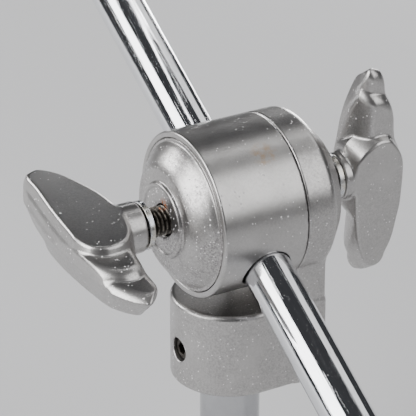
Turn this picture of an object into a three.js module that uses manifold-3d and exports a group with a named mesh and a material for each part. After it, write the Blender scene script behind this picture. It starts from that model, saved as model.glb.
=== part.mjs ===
// Boom-stand tilter head: a cast bracket on a stand tube carries a clamp drum that tilts about
// the X axis; a boom rod slides through the drum, and a wing screw on each end locks the tilt
// (right, +X) and the rod (left, -X).
//
// Millimetres, +Z up. The origin is the centre of the stand tube's lower end. The drum's axis
// runs along X at height AXIS_HEIGHT, and the rod lies in the YZ plane through that axis.
import * as THREE from 'three';
import { mergeVertices } from 'three/addons/utils/BufferGeometryUtils.js';
import Module from 'manifold-3d';

const wasm = await Module();
wasm.setup();

// ---- driving dimensions ----------------------------------------------------------------------
const GAP = 0.3;                       // clearance between neighbouring pieces
const BREAK = 0.8;                     // broken edge on a casting

const AXIS_HEIGHT = 110;               // drum axis above the tube's lower end
const ROD_PITCH = THREE.MathUtils.degToRad(31);   // rear end of the rod rises by this much

const ROD_RADIUS = 6.35;
const ROD_WALL = 1.5;
const ROD_FRONT = -105;                // tail end, measured along the rod from the drum axis
const ROD_REAR = 125;                  // head end
const ROD_BORE_RADIUS = 7;             // cross bore in the drum

const DRUM_RADIUS = 21.9;
const DRUM_LEFT = -14.2;
const DRUM_RIGHT = 10.05;
const PIVOT_RADIUS = 9;                // spigot of the drum that turns in the bracket
const PIVOT_END = 17;
const CAP_RADIUS = 20.1;
const CAP_BACK = -10.8;
const PAD_RADIUS = 7.9;

const DISC_LEFT = DRUM_RIGHT + GAP;
const DISC_RIGHT = 19;
const BOSS_RIGHT = 24.3;
const BOSS_RADIUS = 15.3;
const FRICTION_INNER = 12;
const FRICTION_OUTER = 20;
const FRICTION_DEPTH = 1.35;

const COLLAR_RADIUS = 15.8;            // also half the width of the bracket's foot
const SHELF_DROP = 25.2;               // shelf below the drum axis
const FOOT_DROP = 48.7;                // bottom of the foot below the drum axis
const FOOT_BACK = 19.8;
const TUBE_RADIUS = 8;
const TUBE_WALL = 1.5;
const TUBE_DEPTH = 19;                 // how far the tube reaches into the foot
const SET_SCREW_DROP = 38.7;
const SET_SCREW_RADIUS = 2.9;
const SET_SCREW_LENGTH = 6;

const THREAD_RADIUS = 3.95;            // M8 crest
const THREAD_PITCH = 1.25;
const THREAD_DEPTH = 0.7;
const HOLE_RADIUS = 4.3;               // clears the M8 crest
const LEFT_HUB = -27.5;                // inner face of the left wing's hub
const RIGHT_HUB = 31.5;                // inner face of the right wing's hub
const SHANK_RADIUS = 4.6;              // knurled shank of the rod stud, cast into the left hub
const SHANK_LENGTH = 12;
const STUD_END = 11;                   // how far the tilt stud reaches into the right hub
const WASHER_THICKNESS = 1.6;
const WING_WASHER_RADIUS = 6.4;        // small washer in front of each hub
const PIN_RADIUS = 1.5;
const PIN_PLACE = 14;

const TAPER = 0.026;                   // wings narrow by this share per millimetre off mid-plane

// Outlines at a wing's middle plane, [outward from the hub face, along the lobes]. The closed
// outline of each feather is the flat lobe followed by that feather's own end.
const ROD_WING = {
  centre: 13.5,                        // line the taper closes on
  hubRadius: 6.7,
  hubLength: 5,
  levels: [6.6, 4.3, 2],               // flat oval feather, second feather, third feather
  bevels: [0.6, 1.3, 1.3],
  cutBack: 9.8,                        // stepped feathers slope down towards the drum from here
  farShift: 2,                         // the far face is set along the lobes by this much
  flatLobe: [
    [3.3, -1.4], [4.3, -11.1], [6.9, -19.5], [10, -26.6], [14.3, -31.3],
    [17.2, -31.4], [20.2, -29], [20.8, -20.8], [22.2, -8.4], [23, 3.9],
  ],
  ends: [
    [[23.2, 9.6], [21.2, 14.8], [16.3, 17.6], [10.1, 16.3], [5.9, 10.7], [3.6, 3]],
    [[23.9, 10], [23.4, 16], [21.2, 22], [16.4, 25.6], [11.6, 25.3], [8.6, 20.5], [5.6, 11], [3.5, 3]],
    [[23.9, 10], [22.6, 18], [19.8, 26.5], [16.2, 31.8], [12.6, 33.6], [9.9, 31], [8.3, 24], [5.6, 12], [3.5, 3]],
  ],
};
const TILT_WING = {
  centre: 10.5,
  hubRadius: 6.4,
  hubLength: 4,
  levels: [6.4, 4.2, 2],
  bevels: [0.6, 1.3, 1.3],
  cutBack: 7.2,
  farShift: 0,
  flatLobe: [
    [1.5, 0], [2.5, -11.2], [4.5, -21.8], [8.5, -30.6], [12.8, -32],
    [16.3, -28.1], [18.7, -18.1], [19.4, -6.4], [18.7, 4.9],
  ],
  ends: [
    [[14.8, 11.6], [12.1, 13.4], [7.6, 12.8], [2.1, 7.9]],
    [[16.6, 11], [15.6, 17.8], [14.2, 21.6], [11.8, 24.1], [8.8, 25], [5.6, 24.3], [3, 21], [1.9, 9]],
    [[16.4, 11], [14.3, 18.5], [13.4, 23.5], [12.6, 27.2], [10.9, 29.7], [8.6, 30.6], [6.2, 29.9],
      [4, 27.3], [2.6, 20.5], [1.8, 10]],
  ],
};
const ROD_WING_TURN = THREE.MathUtils.degToRad(6);
const TILT_WING_TURN = THREE.MathUtils.degToRad(-84);

const FINE = 40;                       // facets round a large diameter
const MEDIUM = 24;
const SMALL = 16;

// ---- materials -------------------------------------------------------------------------------
const satinNickel = new THREE.MeshStandardMaterial({ color: 0xb9b6b4, roughness: 0.42, metalness: 1 });
const mirrorChrome = new THREE.MeshStandardMaterial({ color: 0xd8dade, roughness: 0.08, metalness: 1 });
const blackOxide = new THREE.MeshStandardMaterial({ color: 0x24211f, roughness: 0.5, metalness: 0.9 });
const zincSteel = new THREE.MeshStandardMaterial({ color: 0x9a9ca0, roughness: 0.35, metalness: 1 });
const brass = new THREE.MeshStandardMaterial({ color: 0xb08d4a, roughness: 0.4, metalness: 1 });
const nylon = new THREE.MeshStandardMaterial({ color: 0xd9d4c6, roughness: 0.6, metalness: 0 });
const blackNylon = new THREE.MeshStandardMaterial({ color: 0x1b1b1d, roughness: 0.6, metalness: 0 });
const fibre = new THREE.MeshStandardMaterial({ color: 0x5d2a22, roughness: 0.8, metalness: 0 });

// ---- solids ----------------------------------------------------------------------------------
function signedVolume(positions, triangles) {
  const [a, b, c] = [new THREE.Vector3(), new THREE.Vector3(), new THREE.Vector3()];
  let sum = 0;
  for (let i = 0; i < triangles.length; i += 3) {
    a.fromArray(positions, 3 * triangles[i]);
    b.fromArray(positions, 3 * triangles[i + 1]);
    c.fromArray(positions, 3 * triangles[i + 2]);
    sum += a.dot(b.cross(c));
  }
  return sum / 6;
}

// A closed three.js geometry as a solid, with its faces pointing out.
function solid(geometry) {
  const bare = geometry.clone();
  bare.deleteAttribute('normal');
  bare.deleteAttribute('uv');
  const merged = mergeVertices(bare, 1e-4);
  const vertProperties = new Float32Array(merged.attributes.position.array);
  const triVerts = new Uint32Array(merged.index.array);
  if (signedVolume(vertProperties, triVerts) < 0) {
    for (let i = 0; i < triVerts.length; i += 3) {
      [triVerts[i], triVerts[i + 1]] = [triVerts[i + 1], triVerts[i]];
    }
  }
  return new wasm.Manifold(new wasm.Mesh({ numProp: 3, vertProperties, triVerts }));
}

function toGeometry(manifold) {
  const mesh = manifold.getMesh();
  const geometry = new THREE.BufferGeometry();
  geometry.setAttribute('position', new THREE.BufferAttribute(mesh.vertProperties, 3));
  geometry.setIndex(new THREE.BufferAttribute(mesh.triVerts, 1));
  geometry.computeVertexNormals();
  return geometry;
}

// A closed profile of [x, radius] points turned about the X axis.
function turned(profile, facets) {
  const points = profile.map(([x, radius]) => new THREE.Vector2(radius, x));
  points.push(points[0].clone());
  const geometry = new THREE.LatheGeometry(points, facets);
  geometry.rotateZ(-Math.PI / 2);
  return solid(geometry);
}

// A plain bar on the X axis.
function bar(from, to, radius, facets) {
  return turned([[from, 0], [from, radius], [to, radius], [to, 0]], facets);
}

// A tube or washer on the X axis, its outer edges broken by `edge`.
function ring(from, to, inner, outer, facets, edge = 0.3) {
  const profile = [
    [from, inner],
    [from, outer - edge],
    [from + edge, outer],
    [to - edge, outer],
    [to, outer - edge],
    [to, inner],
  ];
  return turned(profile, facets);
}

// Profile points of a thread on the X axis, root and crest in turn.
function threadProfile(from, to) {
  const turns = Math.floor((to - from) / THREAD_PITCH);
  const points = [];
  for (let i = 0; i < turns; i += 1) {
    const x = from + i * THREAD_PITCH;
    points.push([x, THREAD_RADIUS - THREAD_DEPTH]);
    points.push([x + 0.5 * THREAD_PITCH, THREAD_RADIUS]);
  }
  points.push([from + turns * THREAD_PITCH, THREAD_RADIUS - THREAD_DEPTH]);
  return points;
}

// The X axis laid along the boom rod, rear end positive.
function alongRod(manifold) {
  return manifold.rotate([0, 0, 90]).rotate([THREE.MathUtils.radToDeg(ROD_PITCH), 0, 0]);
}

function upright(manifold) {
  return manifold.rotate([0, -90, 0]);
}

// ---- bracket ---------------------------------------------------------------------------------
function bracket() {
  const foot = new THREE.Shape();
  foot.moveTo(FOOT_BACK, -COLLAR_RADIUS);
  foot.lineTo(FOOT_BACK, COLLAR_RADIUS);
  foot.lineTo(0, COLLAR_RADIUS);
  foot.absarc(0, 0, COLLAR_RADIUS, Math.PI / 2, 1.5 * Math.PI, false);
  const footHeight = FOOT_DROP - SHELF_DROP;
  const footBlock = new THREE.ExtrudeGeometry(foot, {
    depth: footHeight - 2 * BREAK,
    bevelThickness: BREAK,
    bevelSize: BREAK,
    bevelOffset: -BREAK,
    bevelSegments: 1,
    curveSegments: SMALL,
  });
  footBlock.translate(0, 0, BREAK - FOOT_DROP);

  const riserHeight = FOOT_DROP - 0.5 * DRUM_RADIUS - BREAK;
  const riserDepth = FOOT_BACK - DISC_LEFT;
  const riserBlock = new THREE.BoxGeometry(riserDepth, 2 * COLLAR_RADIUS, riserHeight);
  riserBlock.translate(DISC_LEFT + riserDepth / 2, 0, BREAK - FOOT_DROP + riserHeight / 2);

  const disc = turned([
    [DISC_LEFT, 0],
    [DISC_LEFT, DRUM_RADIUS - 0.2],
    [DISC_LEFT + 0.2, DRUM_RADIUS],
    [DISC_RIGHT - BREAK, DRUM_RADIUS],
    [DISC_RIGHT, DRUM_RADIUS - BREAK],
    [BOSS_RIGHT - BREAK, BOSS_RADIUS + BREAK],
    [BOSS_RIGHT, BOSS_RADIUS - BREAK],
    [BOSS_RIGHT, 0],
  ], FINE);

  const frictionPocket = ring(DISC_LEFT - 1, DISC_LEFT + FRICTION_DEPTH, FRICTION_INNER, FRICTION_OUTER, FINE, 0);
  const pivotBore = bar(DISC_LEFT - 1, PIVOT_END + GAP, PIVOT_RADIUS + GAP, MEDIUM);
  const studHole = bar(PIVOT_END - 1, BOSS_RIGHT + 1, HOLE_RADIUS, SMALL);
  const tubeBore = upright(bar(-FOOT_DROP - 1, TUBE_DEPTH - FOOT_DROP + GAP, TUBE_RADIUS + GAP, MEDIUM));
  const screwHole = bar(-COLLAR_RADIUS - 1, -TUBE_RADIUS, SET_SCREW_RADIUS + GAP, SMALL)
    .translate([0, 0, -SET_SCREW_DROP]);

  return solid(footBlock)
    .add(solid(riserBlock))
    .add(disc)
    .subtract(frictionPocket)
    .subtract(pivotBore)
    .subtract(studHole)
    .subtract(tubeBore)
    .subtract(screwHole);
}

function standTube() {
  const top = AXIS_HEIGHT - FOOT_DROP + TUBE_DEPTH;
  return upright(ring(0, top, TUBE_RADIUS - TUBE_WALL, TUBE_RADIUS, MEDIUM));
}

// Hex-socket grub screw that holds the tube in the foot.
function setScrew() {
  const outer = -COLLAR_RADIUS + 1.2;
  const inner = outer + SET_SCREW_LENGTH;
  const body = turned([
    [outer, 0],
    [outer, SET_SCREW_RADIUS - 0.5],
    [outer + 0.5, SET_SCREW_RADIUS],
    [inner - 0.9, SET_SCREW_RADIUS],
    [inner, SET_SCREW_RADIUS - 0.9],
    [inner, 0],
  ], SMALL);
  const socket = bar(outer - 1, outer + 3, 1.7, 6);
  return body.subtract(socket).translate([0, 0, -SET_SCREW_DROP]);
}

function frictionWasher() {
  const outer = FRICTION_OUTER - GAP;
  const inner = FRICTION_INNER + GAP;
  return ring(DISC_LEFT, DISC_LEFT + FRICTION_DEPTH - GAP, inner, outer, MEDIUM, 0.1);
}

// ---- clamp drum ------------------------------------------------------------------------------
function clampDrum() {
  const body = turned([
    [DRUM_LEFT, 0],
    [DRUM_LEFT, DRUM_RADIUS - 1.5],
    [DRUM_LEFT + 0.3, DRUM_RADIUS - 0.5],
    [DRUM_LEFT + BREAK, DRUM_RADIUS],
    [DRUM_RIGHT - 0.2, DRUM_RADIUS],
    [DRUM_RIGHT, DRUM_RADIUS - 0.2],
    [DRUM_RIGHT, PIVOT_RADIUS],
    [PIVOT_END, PIVOT_RADIUS],
    [PIVOT_END, 0],
  ], FINE);
  const capSeat = bar(DRUM_LEFT - 1, CAP_BACK + GAP, CAP_RADIUS + GAP, FINE);
  const padBore = bar(CAP_BACK - 1, -1.5, PAD_RADIUS + GAP, MEDIUM);
  const rodBore = alongRod(bar(-DRUM_RADIUS - 1, DRUM_RADIUS + 1, ROD_BORE_RADIUS, MEDIUM));
  const studHole = bar(DRUM_RIGHT - 1.35, PIVOT_END + 1, HOLE_RADIUS, SMALL);
  const pinHole = upright(bar(-PIVOT_RADIUS - 1, PIVOT_RADIUS + 1, PIN_RADIUS + GAP, SMALL))
    .translate([PIN_PLACE, 0, 0]);
  return body.subtract(capSeat).subtract(padBore).subtract(rodBore).subtract(studHole).subtract(pinHole);
}

// Stepped front cap: flat rim, domed flank, raised boss with a bead round the threaded hole.
function drumCap() {
  const profile = [
    [CAP_BACK, PAD_RADIUS + 2 * GAP],
    [CAP_BACK, CAP_RADIUS],
    [-14.1, CAP_RADIUS],
    [-14.1, 19.1],
    [-15.6, 18.3],
    [-17.4, 16.6],
    [-18.9, 14.6],
    [-19.6, 13.2],
    [-19.6, 10],
    [-20.4, 9.8],
    [-20.7, 9.3],
    [-20.3, 8.6],
    [-20.3, 5.1],
    [-20, HOLE_RADIUS],
    [-17, HOLE_RADIUS],
    [-17, PAD_RADIUS + 2 * GAP],
  ];
  return turned(profile, FINE);
}

function tiltStud() {
  const from = DRUM_RIGHT - 1.05;
  const to = RIGHT_HUB + STUD_END;
  const threadStart = BOSS_RIGHT + 4;
  const profile = [
    [from, 0],
    [from, THREAD_RADIUS - 0.5],
    [from + 0.5, THREAD_RADIUS],
    [threadStart - 0.5, THREAD_RADIUS],
    ...threadProfile(threadStart, to - 0.6),
    [to, THREAD_RADIUS - THREAD_DEPTH - 0.4],
    [to, 0],
  ];
  const pinHole = upright(bar(-THREAD_RADIUS - 1, THREAD_RADIUS + 1, PIN_RADIUS + GAP, SMALL))
    .translate([PIN_PLACE, 0, 0]);
  return turned(profile, SMALL).subtract(pinHole);
}

function tiltStudPin() {
  const half = PIVOT_RADIUS - 0.4;
  return upright(ring(-half, half, 0.7, PIN_RADIUS, 16)).translate([PIN_PLACE, 0, 0]);
}

// ---- boom rod --------------------------------------------------------------------------------
function boomRod() {
  return alongRod(ring(ROD_FRONT, ROD_REAR, ROD_RADIUS - ROD_WALL, ROD_RADIUS, MEDIUM));
}

// Turned plug in the head end, with a shoulder and a threaded spigot for a cymbal tilter.
function boomRodSpigot() {
  const plug = ROD_RADIUS - ROD_WALL - GAP;
  const face = ROD_REAR + GAP;
  const shoulderEnd = face + 6;
  const spigotEnd = shoulderEnd + 18;
  return alongRod(turned([
    [ROD_REAR - 14, 0],
    [ROD_REAR - 14, plug - 0.5],
    [ROD_REAR - 13.5, plug],
    [face, plug],
    [face, ROD_RADIUS - 0.3],
    [face + 0.3, ROD_RADIUS],
    [shoulderEnd - 0.5, ROD_RADIUS],
    [shoulderEnd, ROD_RADIUS - 0.5],
    [shoulderEnd, THREAD_RADIUS - THREAD_DEPTH - 0.1],
    [shoulderEnd + 0.8, THREAD_RADIUS - THREAD_DEPTH - 0.1],
    ...threadProfile(shoulderEnd + 1, spigotEnd - 0.7),
    [spigotEnd, THREAD_RADIUS - THREAD_DEPTH - 0.5],
    [spigotEnd, 0],
  ], SMALL));
}

// Round-nosed plastic cap on the tail end.
function boomRodCap() {
  const plug = ROD_RADIUS - ROD_WALL - GAP;
  const face = ROD_FRONT - GAP;
  const capRadius = ROD_RADIUS + 0.9;
  return alongRod(turned([
    [ROD_FRONT + 12, 0],
    [ROD_FRONT + 12, plug - 0.6],
    [ROD_FRONT + 11.4, plug],
    [face, plug],
    [face, capRadius - 0.3],
    [face - 0.3, capRadius],
    [face - 4, capRadius],
    [face - 6, capRadius - 0.9],
    [face - 7.2, capRadius - 2.8],
    [face - 7.6, 0],
  ], MEDIUM));
}

// ---- rod clamp -------------------------------------------------------------------------------
// Brass pad pushed by the wing screw; a nylon liner with a saddle bears on the rod.
function rodPad() {
  const back = -13.6;
  const socket = bar(back - 1, -11.6, 3.1, SMALL);
  return ring(back, -10.3, 0, PAD_RADIUS, MEDIUM).subtract(socket);
}

function rodPadLiner() {
  const saddle = alongRod(bar(-DRUM_RADIUS, DRUM_RADIUS, ROD_RADIUS + GAP, MEDIUM));
  return bar(-10, -4.2, PAD_RADIUS - GAP, MEDIUM).subtract(saddle);
}

function rodStud() {
  const shankEnd = LEFT_HUB - GAP;
  const threadEnd = -14.4;
  return turned([
    [LEFT_HUB - SHANK_LENGTH, 0],
    [LEFT_HUB - SHANK_LENGTH, SHANK_RADIUS - 0.5],
    [LEFT_HUB - SHANK_LENGTH + 0.5, SHANK_RADIUS],
    [shankEnd, SHANK_RADIUS],
    ...threadProfile(shankEnd + 0.3, threadEnd),
    [threadEnd, 2.8],
    [-12.2, 2.8],
    [-11.9, 2.5],
    [-11.9, 0],
  ], SMALL);
}

function rodStudWasher() {
  const from = LEFT_HUB + 2 * GAP;
  return ring(from, from + WASHER_THICKNESS, HOLE_RADIUS, WING_WASHER_RADIUS, SMALL, 0.25);
}

// ---- tilt clamp ------------------------------------------------------------------------------
function tiltWasher() {
  const from = BOSS_RIGHT + GAP;
  return ring(from, from + WASHER_THICKNESS, HOLE_RADIUS, 10.5, MEDIUM);
}

// Split spring washer, its two ends set apart.
function tiltSpringWasher() {
  const from = BOSS_RIGHT + 2 * GAP + WASHER_THICKNESS;
  const washer = ring(from, from + 2, HOLE_RADIUS, 7.2, MEDIUM, 0.1);
  const slit = new THREE.BoxGeometry(4, 1.2, 6);
  slit.translate(from + 1, 0, HOLE_RADIUS + 2);
  return washer.subtract(solid(slit));
}

function tiltWingWasher() {
  const to = RIGHT_HUB - GAP;
  return ring(to - WASHER_THICKNESS, to, HOLE_RADIUS, WING_WASHER_RADIUS, SMALL, 0.25);
}

// ---- wing ------------------------------------------------------------------------------------
// A feather's outline as a smooth closed polygon, its x measured from the wing's centre line.
function featherOutline(form, index) {
  const knots = [...form.flatLobe, ...form.ends[index]].map(([x, y]) => new THREE.Vector3(x - form.centre, y, 0));
  const curve = new THREE.CatmullRomCurve3(knots, true, 'catmullrom', 0.5);
  return curve.getPoints(2 * knots.length).slice(0, -1).map(({ x, y }) => [x, y]);
}

// The feather's sides are upright below the wing's middle plane and lean in above it.
function feather(form, index) {
  const { Manifold } = wasm;
  const outline = featherOutline(form, index);
  const level = form.levels[index];
  const bevel = form.bevels[index];
  const under = form.levels[0] + 1;
  const edge = 1 - TAPER * (level - bevel);
  const rim = outline.map(([x, y]) => [edge * x, edge * y]);
  const closing = 1 - bevel / form.centre;
  const skirt = Manifold.extrude([outline], under).translate([0, 0, -under]);
  const side = Manifold.extrude([outline], level - bevel, 0, 0, [edge, edge]);
  const top = Manifold.extrude([rim], bevel, 0, 0, [closing, closing]).translate([0, 0, level - bevel]);
  const whole = skirt.add(side).add(top);
  const cutOffset = (form.cutBack - form.centre - level) * Math.SQRT1_2;
  return index > 0 ? whole.trimByPlane([Math.SQRT1_2, 0, -Math.SQRT1_2], cutOffset) : whole;
}

// Wing with its hub face at x = 0 and the hub's axis along +X. The flat oval feather faces +Z
// with its lobe along -Y; the far side is the same, turned half a turn about X.
function wing(form, boreRadius) {
  const steps = feather(form, 0).add(feather(form, 1)).add(feather(form, 2));
  const farSteps = steps.rotate([180, 0, 0]).translate([0, form.farShift, 0]);
  const blade = steps.intersect(farSteps).translate([form.centre, 0, 0]);
  const hub = turned([
    [0, 0],
    [0, form.hubRadius - 0.5],
    [0.5, form.hubRadius],
    [form.hubLength - 1.5, form.hubRadius],
    [form.hubLength + 1, form.levels[0] - 0.1],
    [form.hubLength + 6, form.levels[0] - 0.6],
    [form.hubLength + 6, 0],
  ], MEDIUM);
  const bore = bar(-1, SHANK_LENGTH + 1, boreRadius, SMALL);
  return blade.add(hub).subtract(bore);
}

function rodWing() {
  const turn = THREE.MathUtils.radToDeg(ROD_WING_TURN);
  return wing(ROD_WING, SHANK_RADIUS + GAP).rotate([0, 0, 180]).rotate([turn, 0, 0]).translate([LEFT_HUB, 0, 0]);
}

function tiltWing() {
  const turn = 180 + THREE.MathUtils.radToDeg(TILT_WING_TURN);
  return wing(TILT_WING, HOLE_RADIUS).rotate([turn, 0, 0]).translate([RIGHT_HUB, 0, 0]);
}

// ---- assembly --------------------------------------------------------------------------------
const group = new THREE.Group();
const head = new THREE.Group();
head.position.z = AXIS_HEIGHT;
group.add(head);

function place(parent, name, manifold, material) {
  const mesh = new THREE.Mesh(toGeometry(manifold), material);
  mesh.name = name;
  parent.add(mesh);
}

place(group, 'stand_tube', standTube(), mirrorChrome);
place(head, 'bracket', bracket(), satinNickel);
place(head, 'set_screw', setScrew(), blackOxide);
place(head, 'friction_washer', frictionWasher(), fibre);

place(head, 'clamp_drum', clampDrum(), satinNickel);
place(head, 'drum_cap', drumCap(), satinNickel);
place(head, 'tilt_stud', tiltStud(), blackOxide);
place(head, 'tilt_stud_pin', tiltStudPin(), zincSteel);

place(head, 'boom_rod', boomRod(), mirrorChrome);
place(head, 'boom_rod_spigot', boomRodSpigot(), zincSteel);
place(head, 'boom_rod_cap', boomRodCap(), blackNylon);

place(head, 'rod_pad', rodPad(), brass);
place(head, 'rod_pad_liner', rodPadLiner(), nylon);
place(head, 'rod_stud', rodStud(), blackOxide);
place(head, 'rod_stud_washer', rodStudWasher(), zincSteel);
place(head, 'rod_wing', rodWing(), satinNickel);

place(head, 'tilt_washer', tiltWasher(), zincSteel);
place(head, 'tilt_spring_washer', tiltSpringWasher(), zincSteel);
place(head, 'tilt_wing_washer', tiltWingWasher(), zincSteel);
place(head, 'tilt_wing', tiltWing(), satinNickel);

export default group;
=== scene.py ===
"""Looks of the boom tilter head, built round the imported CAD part.

Blender works in metres. The shapes below are written in millimetres from the drum's centre, with
+X along the drum's axis and +Z up, and are moved to the frame when their meshes are made.
"""

import math

import bpy
import numpy as np
from mathutils import Matrix, Vector


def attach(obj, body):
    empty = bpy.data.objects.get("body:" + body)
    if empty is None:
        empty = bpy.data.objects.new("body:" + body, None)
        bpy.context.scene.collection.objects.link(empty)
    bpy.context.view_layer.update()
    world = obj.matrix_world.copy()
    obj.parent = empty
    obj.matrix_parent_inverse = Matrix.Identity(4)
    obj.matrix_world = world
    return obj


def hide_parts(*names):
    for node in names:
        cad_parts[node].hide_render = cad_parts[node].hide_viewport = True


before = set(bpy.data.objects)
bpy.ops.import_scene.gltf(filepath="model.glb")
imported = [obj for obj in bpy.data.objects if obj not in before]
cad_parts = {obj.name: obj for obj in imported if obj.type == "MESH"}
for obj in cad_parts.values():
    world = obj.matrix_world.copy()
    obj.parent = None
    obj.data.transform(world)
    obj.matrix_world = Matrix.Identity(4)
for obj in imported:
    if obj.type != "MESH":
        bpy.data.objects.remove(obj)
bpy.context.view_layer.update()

MM = 0.001
AXIS_HEIGHT = 110.0
PITCH = math.radians(31)

# ---- driving dimensions, the same as the CAD part's ------------------------------------------
DRUM_RADIUS = 21.9
DRUM_LEFT = -14.2
DRUM_RIGHT = 10.05
PIVOT_RADIUS = 9.0
PIVOT_END = 17.0
CAP_BACK = -10.8
CAP_RADIUS = 20.1
ROD_RADIUS = 6.35
ROD_INNER_RADIUS = 4.85
ROD_FRONT = -105.0
ROD_REAR = 125.0
DISC_LEFT = 10.35
DISC_RIGHT = 19.0
BOSS_RIGHT = 24.3
BOSS_RADIUS = 15.3
FOOT_HALF_WIDTH = 15.8
FOOT_BACK = 19.8
SHELF_DROP = 25.2
FOOT_DROP = 48.7
RISER_TOP = -11.0
TUBE_RADIUS = 8.0
TUBE_INNER_RADIUS = 6.5
TUBE_TOP = -29.7
SET_SCREW_DROP = 38.7
SET_SCREW_RADIUS = 2.9
HOLE_RADIUS = 4.3
THREAD_RADIUS = 3.95
THREAD_DEPTH = 0.7
THREAD_PITCH = 1.25
LEFT_HUB = -27.5
RIGHT_HUB = 31.5
GAP = 0.3
STUD_SEAT = DRUM_RIGHT - 1.35
PIN_CENTRE = 14.0
PIN_RADIUS = 1.5
PIN_REACH = 8.6
PAD_BORE_RADIUS = 8.2
PAD_BORE_END = -1.5
FIBRE_LEFT = 10.4
FIBRE_RIGHT = 11.4
FIBRE_INNER = 12.3
FIBRE_OUTER = 19.7
PLUG_RADIUS = 4.55
WASHER_THICKNESS = 1.6
NARROW_WASHER_RADIUS = 6.4
WIDE_WASHER_RADIUS = 10.5

# ---- dimensions of the visual model only -----------------------------------------------------
# The pad pushes the rod to the far side of its bore, so the bore sits a little off centre.
ROD_BORE_RADIUS = 6.7
ROD_BORE_SHIFT = 0.28
TUBE_CLEARANCE = 0.25
TUBE_EDGE = 0.35
DRUM_CELL = 0.42
BRACKET_CELL = 0.45
WING_CELL = 0.3
SADDLE_CELL = 0.3
SCREW_CELL = 0.14
CAST_MARGIN = 0.8
STATIONS_PER_THREAD = 12

# ---- the wings -------------------------------------------------------------------------------
# Outlines are seen square to the flat lobe: x outward from the hub's face, y across. Each of the
# three ends closes the flat lobe into one feather. Levels are the feathers' heights over the
# middle plane, rounds their edges. The two lower feathers bend down towards the hub, from
# roll_from inward with roll_radius. The far side is the near side turned about the hub's axis,
# moved across by far_shift and widened towards the near side by far_spread.
WING_TAPER = 0.026
WING_BORE_DEPTH = 12.5
WING_LOW = (-0.6, -34.5)
WING_HIGH = (25.5, 35.5)
ROLL_REACH = 9
ROD_WING = {
    "centre": 13.5,
    "hub_radius": 6.7,
    "hub_length": 5.5,
    "bore_radius": 4.9,
    "levels": (6.6, 4.3, 2.0),
    "rounds": (0.8, 2.1, 2.1),
    "roll_from": 11.6,
    "roll_radius": 3.0,
    "far_shift": 2.0,
    "far_spread": 0.0,
    "flat_lobe": [
        (3.3, -1.4), (4.3, -11.1), (6.9, -19.5), (10, -26.6), (14.3, -31.3),
        (17.2, -31.4), (20.2, -29), (20.8, -20.8), (22.2, -8.4), (23, 3.9),
    ],
    "ends": [
        [(23.2, 9.6), (21.2, 14.8), (16.3, 17.6), (10.1, 16.3), (5.9, 10.7), (3.6, 3)],
        [(23.9, 10), (23.4, 16), (21.2, 22), (16.4, 25.6), (11.6, 25.3), (8.6, 20.5), (5.6, 11),
         (3.5, 3)],
        [(23.9, 10), (22.6, 18), (19.8, 26.5), (16.2, 31.8), (12.6, 33.9), (9.2, 32), (7.8, 25),
         (5.6, 12), (3.5, 3)],
    ],
}
TILT_WING = {
    "centre": 10.5,
    "hub_radius": 6.4,
    "hub_length": 4.5,
    "bore_radius": 4.3,
    "levels": (6.4, 4.2, 2.0),
    "rounds": (0.8, 1.8, 1.8),
    "roll_from": 9.2,
    "roll_radius": 1.8,
    "far_shift": 0.0,
    "far_spread": 0.2,
    "flat_lobe": [
        (1.5, 0), (2.5, -11.2), (4.5, -21.8), (8.5, -30.6), (12.8, -32),
        (16.3, -28.1), (18.7, -18.1), (19.4, -6.4), (18.7, 4.9),
    ],
    "ends": [
        [(14.8, 11.6), (12.1, 13.4), (7.6, 12.8), (2.1, 7.9)],
        [(16.6, 11), (15.6, 17.8), (14.2, 21.6), (11.8, 24.1), (8.8, 25), (5.6, 24.3), (3, 21),
         (1.9, 9)],
        [(16.4, 11), (14.3, 18.5), (13.4, 23.5), (12.6, 27.2), (10.9, 29.7), (8.6, 30.6), (6.2, 29.9),
         (4, 27.3), (2.6, 20.5), (1.8, 10)],
    ],
}
ROD_WING_TURN = math.radians(6)
TILT_WING_TURN = math.radians(96)

# ---- placing ---------------------------------------------------------------------------------
TO_FRAME = Matrix.Translation((0, 0, AXIS_HEIGHT * MM)) @ Matrix.Scale(MM, 4)
ALONG_ROD = Matrix.Rotation(PITCH, 4, "X") @ Matrix.Rotation(math.pi / 2, 4, "Z")
UPRIGHT = Matrix.Rotation(-math.pi / 2, 4, "Y")


def piece(name, points, faces, place=Matrix.Identity(4), normals=None):
    """A smooth mesh object from points in millimetres, put in the frame."""
    mesh = bpy.data.meshes.new(name)
    mesh.from_pydata([tuple(p) for p in points], [], [tuple(f) for f in faces])
    mesh.validate()
    mesh.shade_smooth()
    if normals is not None:
        mesh.normals_split_custom_set_from_vertices([tuple(n) for n in normals])
    mesh.transform(TO_FRAME @ place)
    obj = bpy.data.objects.new(name, mesh)
    bpy.context.scene.collection.objects.link(obj)
    return obj


def finish_piece(obj, material, body, node):
    """Gives a piece its material, hides the CAD node that it replaces and hangs it on its body."""
    obj.data.materials.append(material)
    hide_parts(node)
    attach(obj, body)


# ---- turned pieces ---------------------------------------------------------------------------
def filleted(corners, steps=5):
    """A profile of (x, radius) points from corners (x, radius, fillet), each corner rounded."""
    points = []
    for i, (x, r, fillet) in enumerate(corners):
        here = Vector((x, r))
        if fillet <= 0 or i in (0, len(corners) - 1):
            points.append(here)
            continue
        back = Vector(corners[i - 1][:2]) - here
        ahead = Vector(corners[i + 1][:2]) - here
        reach = min(fillet, 0.45 * back.length, 0.45 * ahead.length)
        start = here + back.normalized() * reach
        end = here + ahead.normalized() * reach
        for k in range(steps + 1):
            t = k / steps
            points.append(start.lerp(here, t).lerp(here.lerp(end, t), t))
    return points


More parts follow.
